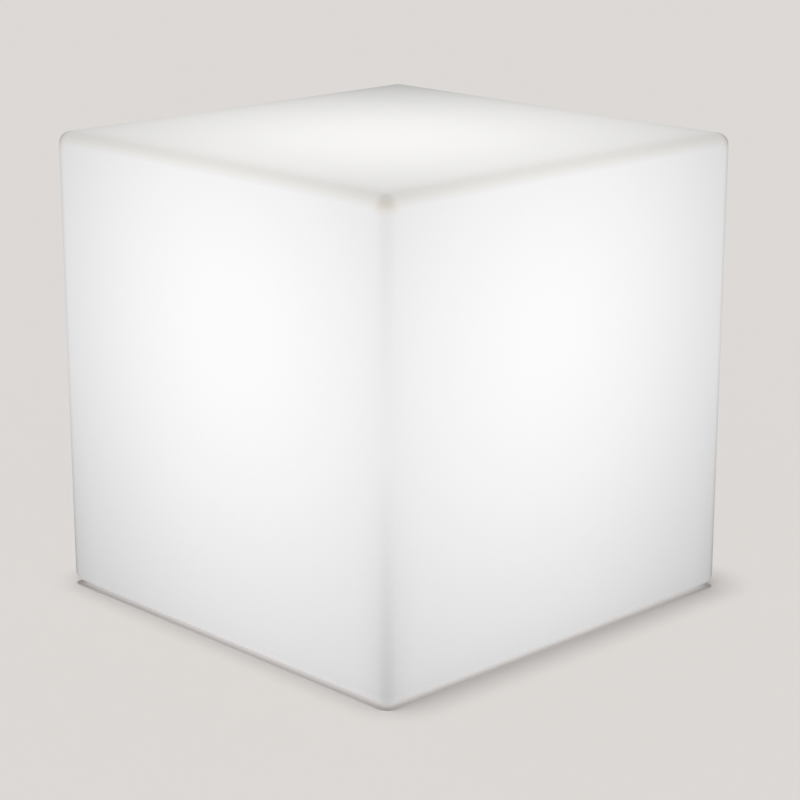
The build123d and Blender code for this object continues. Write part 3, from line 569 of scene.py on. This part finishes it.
# ---------------------------------------------------------------- switch, vent and leads
def panel_switch():
    """Steel bezel with the gloss of brushed steel, in front of a black threaded barrel."""
    low, _ = reach("button_seal")
    material = brushed_steel("panel_switch")
    tree, place = where(material)
    behind = above(tree, place["Z"], low.z + SEAM)
    repaint(material, behind, BLACK)
    feed(tree, "Metallic", inverse(tree, behind))
    thread = maths(tree, "SINE", product(tree, place["Z"], THREAD_TURN))
    relief(tree, product(tree, thread, behind), THREAD_DEPTH)   # takes the brushed lines' place
    return material


def breathing_vent():
    """Black plug with a pale membrane at the bottom of its holes."""
    low, _ = reach("vent_plug")
    material = moulded("breathing_vent", BLACK)
    tree, place = where(material)
    least, most = [low.z + depth for depth in VENT_MEMBRANE]
    downwards = above(tree, opposite(tree, facing(tree)["Z"]), FACING_SHARE)
    inside = above(tree, place["Z"], least)
    below_cover = inverse(tree, above(tree, place["Z"], most))
    repaint(material, product(tree, downwards, inside, below_cover), MEMBRANE)
    return material


def insulated_leads(name, axis):
    """PVC insulation: black on the low side of the axis, and red on its high side."""
    material = surface(name, RED, roughness=0.38, grain=2200, depth=0.00002, uneven=0.06)
    tree, place = where(material)
    repaint(material, inverse(tree, above(tree, place[axis], 0.0)), BLACK)
    return material


# ---------------------------------------------------------------- a material for every piece
def dress(material, *names):
    """The material takes the place of all others on the nodes named."""
    for name in names:
        slots = nodes[name].data.materials
        slots.clear()
        slots.append(material)


dress(glowing_shell(), "cube_shell")
dress(rubber("black_rubber", RUBBER), "rubber_feet", "socket_cap")
dress(rubber("grey_silicone", SILICONE),
      "base_gasket", "dome_seal", "button_seal", "socket_seal", "lead_grommet")
dress(moulded("white_moulding", WHITE, roughness=0.55), "base_housing", "dome_ring")
dress(moulded("black_moulding", BLACK), "battery_cradle", "battery_clamp", "charge_socket")
dress(moulded("satin_button", BLACK, roughness=0.34, grain=3200, depth=0.00001), "power_button")
dress(moulded("natural_nylon", NYLON, roughness=0.42), "board_headers", "led_terminal")
dress(brushed_steel("brushed_steel"), "button_nut", "socket_nut", "cap_bracket")
dress(metal("screw_steel", STEEL, roughness=0.28), "cover_screws", "battery_screws",
      "board_screws", "spreader_screws", "led_board_screws", "cap_hinge_pin")
dress(metal("plated_brass", BRASS, roughness=0.26), "switch_tags", "socket_tags", "socket_pin")
dress(knurled_brass(), "threaded_inserts")
dress(welded_nickel(), "battery_links")
dress(turned_aluminium(), "heat_spreader")
dress(wrapped_cells(), "battery_cells")
dress(laminate_board(), "control_board")
dress(soldered_chips(), "board_chips")
dress(capacitor_cans(), "board_capacitors")
dress(white_led_board(), "led_board")
dress(lit_leds(), "led_chips")
dress(lit_dome(), "diffuser_dome")
dress(panel_switch(), "button_housing")
dress(breathing_vent(), "vent_plug")
dress(insulated_leads("tag_leads", "Y"), "switch_leads", "socket_leads")
dress(insulated_leads("crossing_leads", "X"), "battery_leads", "led_leads")


# ---------------------------------------------------------------- stage
def new_object(name, data):
    item = bpy.data.objects.new(name, data)
    bpy.context.scene.collection.objects.link(item)
    return item


def make_camera():
    data = bpy.data.cameras.new("camera")
    data.lens = CAMERA_LENS
    data.clip_end = CAMERA_RANGE
    camera = new_object("camera", data)
    camera.location = CAMERA_PLACE
    camera.rotation_euler = (math.pi / 2 - CAMERA_PITCH, 0, CAMERA_YAW)
    bpy.context.scene.camera = camera


def make_world():
    """Even light on the object. What shows behind it is the backdrop's colour."""
    world = bpy.data.worlds.new("studio")
    world.use_nodes = True
    tree = world.node_tree
    tree.nodes.clear()
    path = add(tree, "LightPath").outputs
    seen = maths(tree, "MAXIMUM", path["Is Camera Ray"], path["Is Glossy Ray"])
    seen = maths(tree, "MAXIMUM", seen, path["Is Transmission Ray"])
    sky = add(tree, "Background", {"Color": rgba(WHITE_LIGHT), "Strength": SKY_STRENGTH})
    backdrop = add(tree, "Background", {"Color": rgba(BACKDROP), "Strength": 1.0})
    both = add(tree, "MixShader", {0: seen, 1: sky.outputs[0], 2: backdrop.outputs[0]})
    add(tree, "OutputWorld", {"Surface": both.outputs[0]})
    bpy.context.scene.world = world


def make_lamp():
    data = bpy.data.lights.new("key", "SUN")
    data.energy = KEY_STRENGTH
    data.angle = KEY_ANGLE
    lamp = new_object("key", data)
    lamp.rotation_euler = (0, math.pi / 2 - KEY_ELEVATION, KEY_AZIMUTH)


def make_recess_lamp():
    """Lights the module's face for views from below. The underside keeps its light in."""
    low, high = reach("base_housing")
    data = bpy.data.lights.new("recess", "AREA")
    data.shape = "DISK"
    data.size = high.x - low.x
    data.energy = RECESS_LAMP_POWER
    lamp = new_object("recess", data)
    lamp.location = (0, 0, RECESS_LAMP_HEIGHT)
    lamp.rotation_euler = (math.pi, 0, 0)
    lamp.visible_camera = False


def floor_material():
    """Plain and matt, and seen from above only."""
    material = bpy.data.materials.new("floor")
    material.use_nodes = True
    tree = material.node_tree
    tree.nodes.clear()
    albedo = rgba([channel / FLOOR_LEVEL for channel in BACKDROP])
    top = add(tree, "BsdfDiffuse", {"Color": albedo}).outputs[0]
    through = add(tree, "BsdfTransparent").outputs[0]
    below = add(tree, "NewGeometry").outputs["Backfacing"]
    both = add(tree, "MixShader", {0: below, 1: top, 2: through})
    add(tree, "OutputMaterial", {"Surface": both.outputs[0]})
    return material


def floor_piece(name, points, faces, material):
    mesh = bpy.data.meshes.new(name)
    mesh.from_pydata(points, [], faces)
    mesh.materials.append(material)
    piece = new_object(name, mesh)
    return piece


def make_floor():
    """Two pieces: the square that the cube covers, and a wide frame round it, which is returned."""
    signs = [(-1, -1), (1, -1), (1, 1), (-1, 1)]
    inner, outer = [[(size * x, size * y, 0) for x, y in signs] for size in (HALF, FLOOR_REACH)]
    count = len(signs)
    sides = [(i, count + i, count + (i + 1) % count, (i + 1) % count) for i in range(count)]
    material = floor_material()
    floor_piece("floor_below_cube", inner, [tuple(range(count))], material)
    return floor_piece("floor", inner + outer, sides, material)


def keep_glow_off(floor):
    """The photograph's open floor shows a shadow round the cube and no light from it."""
    lit = bpy.data.collections.new("lit_by_the_glow")
    for item in bpy.context.scene.objects:
        if item.type == "MESH" and item is not floor:
            lit.objects.link(item)
    nodes["cube_shell"].light_linking.receiver_collection = lit


make_camera()
make_world()
make_lamp()
make_recess_lamp()
keep_glow_off(make_floor())

bpy.context.scene.view_settings.view_transform = "Standard"
